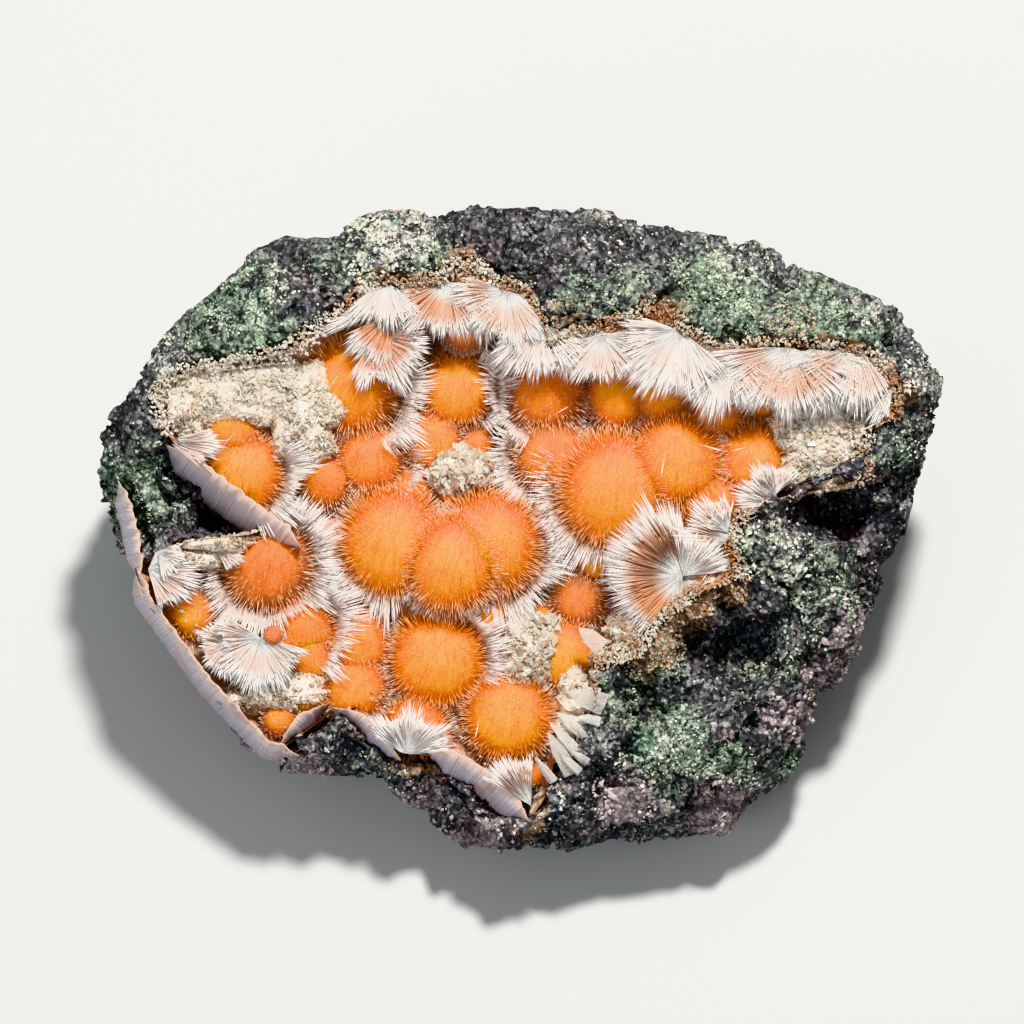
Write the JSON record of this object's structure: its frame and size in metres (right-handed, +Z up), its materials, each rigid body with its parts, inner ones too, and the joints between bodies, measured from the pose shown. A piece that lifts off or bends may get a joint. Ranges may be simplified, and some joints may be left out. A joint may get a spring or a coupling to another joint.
{
  "type": "thomsonite specimen",
  "caption": "Loose piece of dark basalt with a hollow lined by orange radiating balls of needle crystals, white fans and clear blades.",
  "frame": {"origin": "on the flat base, under the middle of the rock", "axes": "+Z up from the base; +X to the right and +Y away for someone who looks at the crystals, whose face leans towards -Y"},
  "size_m": [0.0843, 0.0655, 0.0386],
  "materials": {
    "basalt": "rough, hackly broken basalt with green celadonite",
    "thomsonite": "silky fibres, orange inside and white at the tips"
  },
  "bodies": {
    "root": {"basalt_matrix": "basalt", "crystal_crust": "thomsonite"}
  },
  "joints": []
}
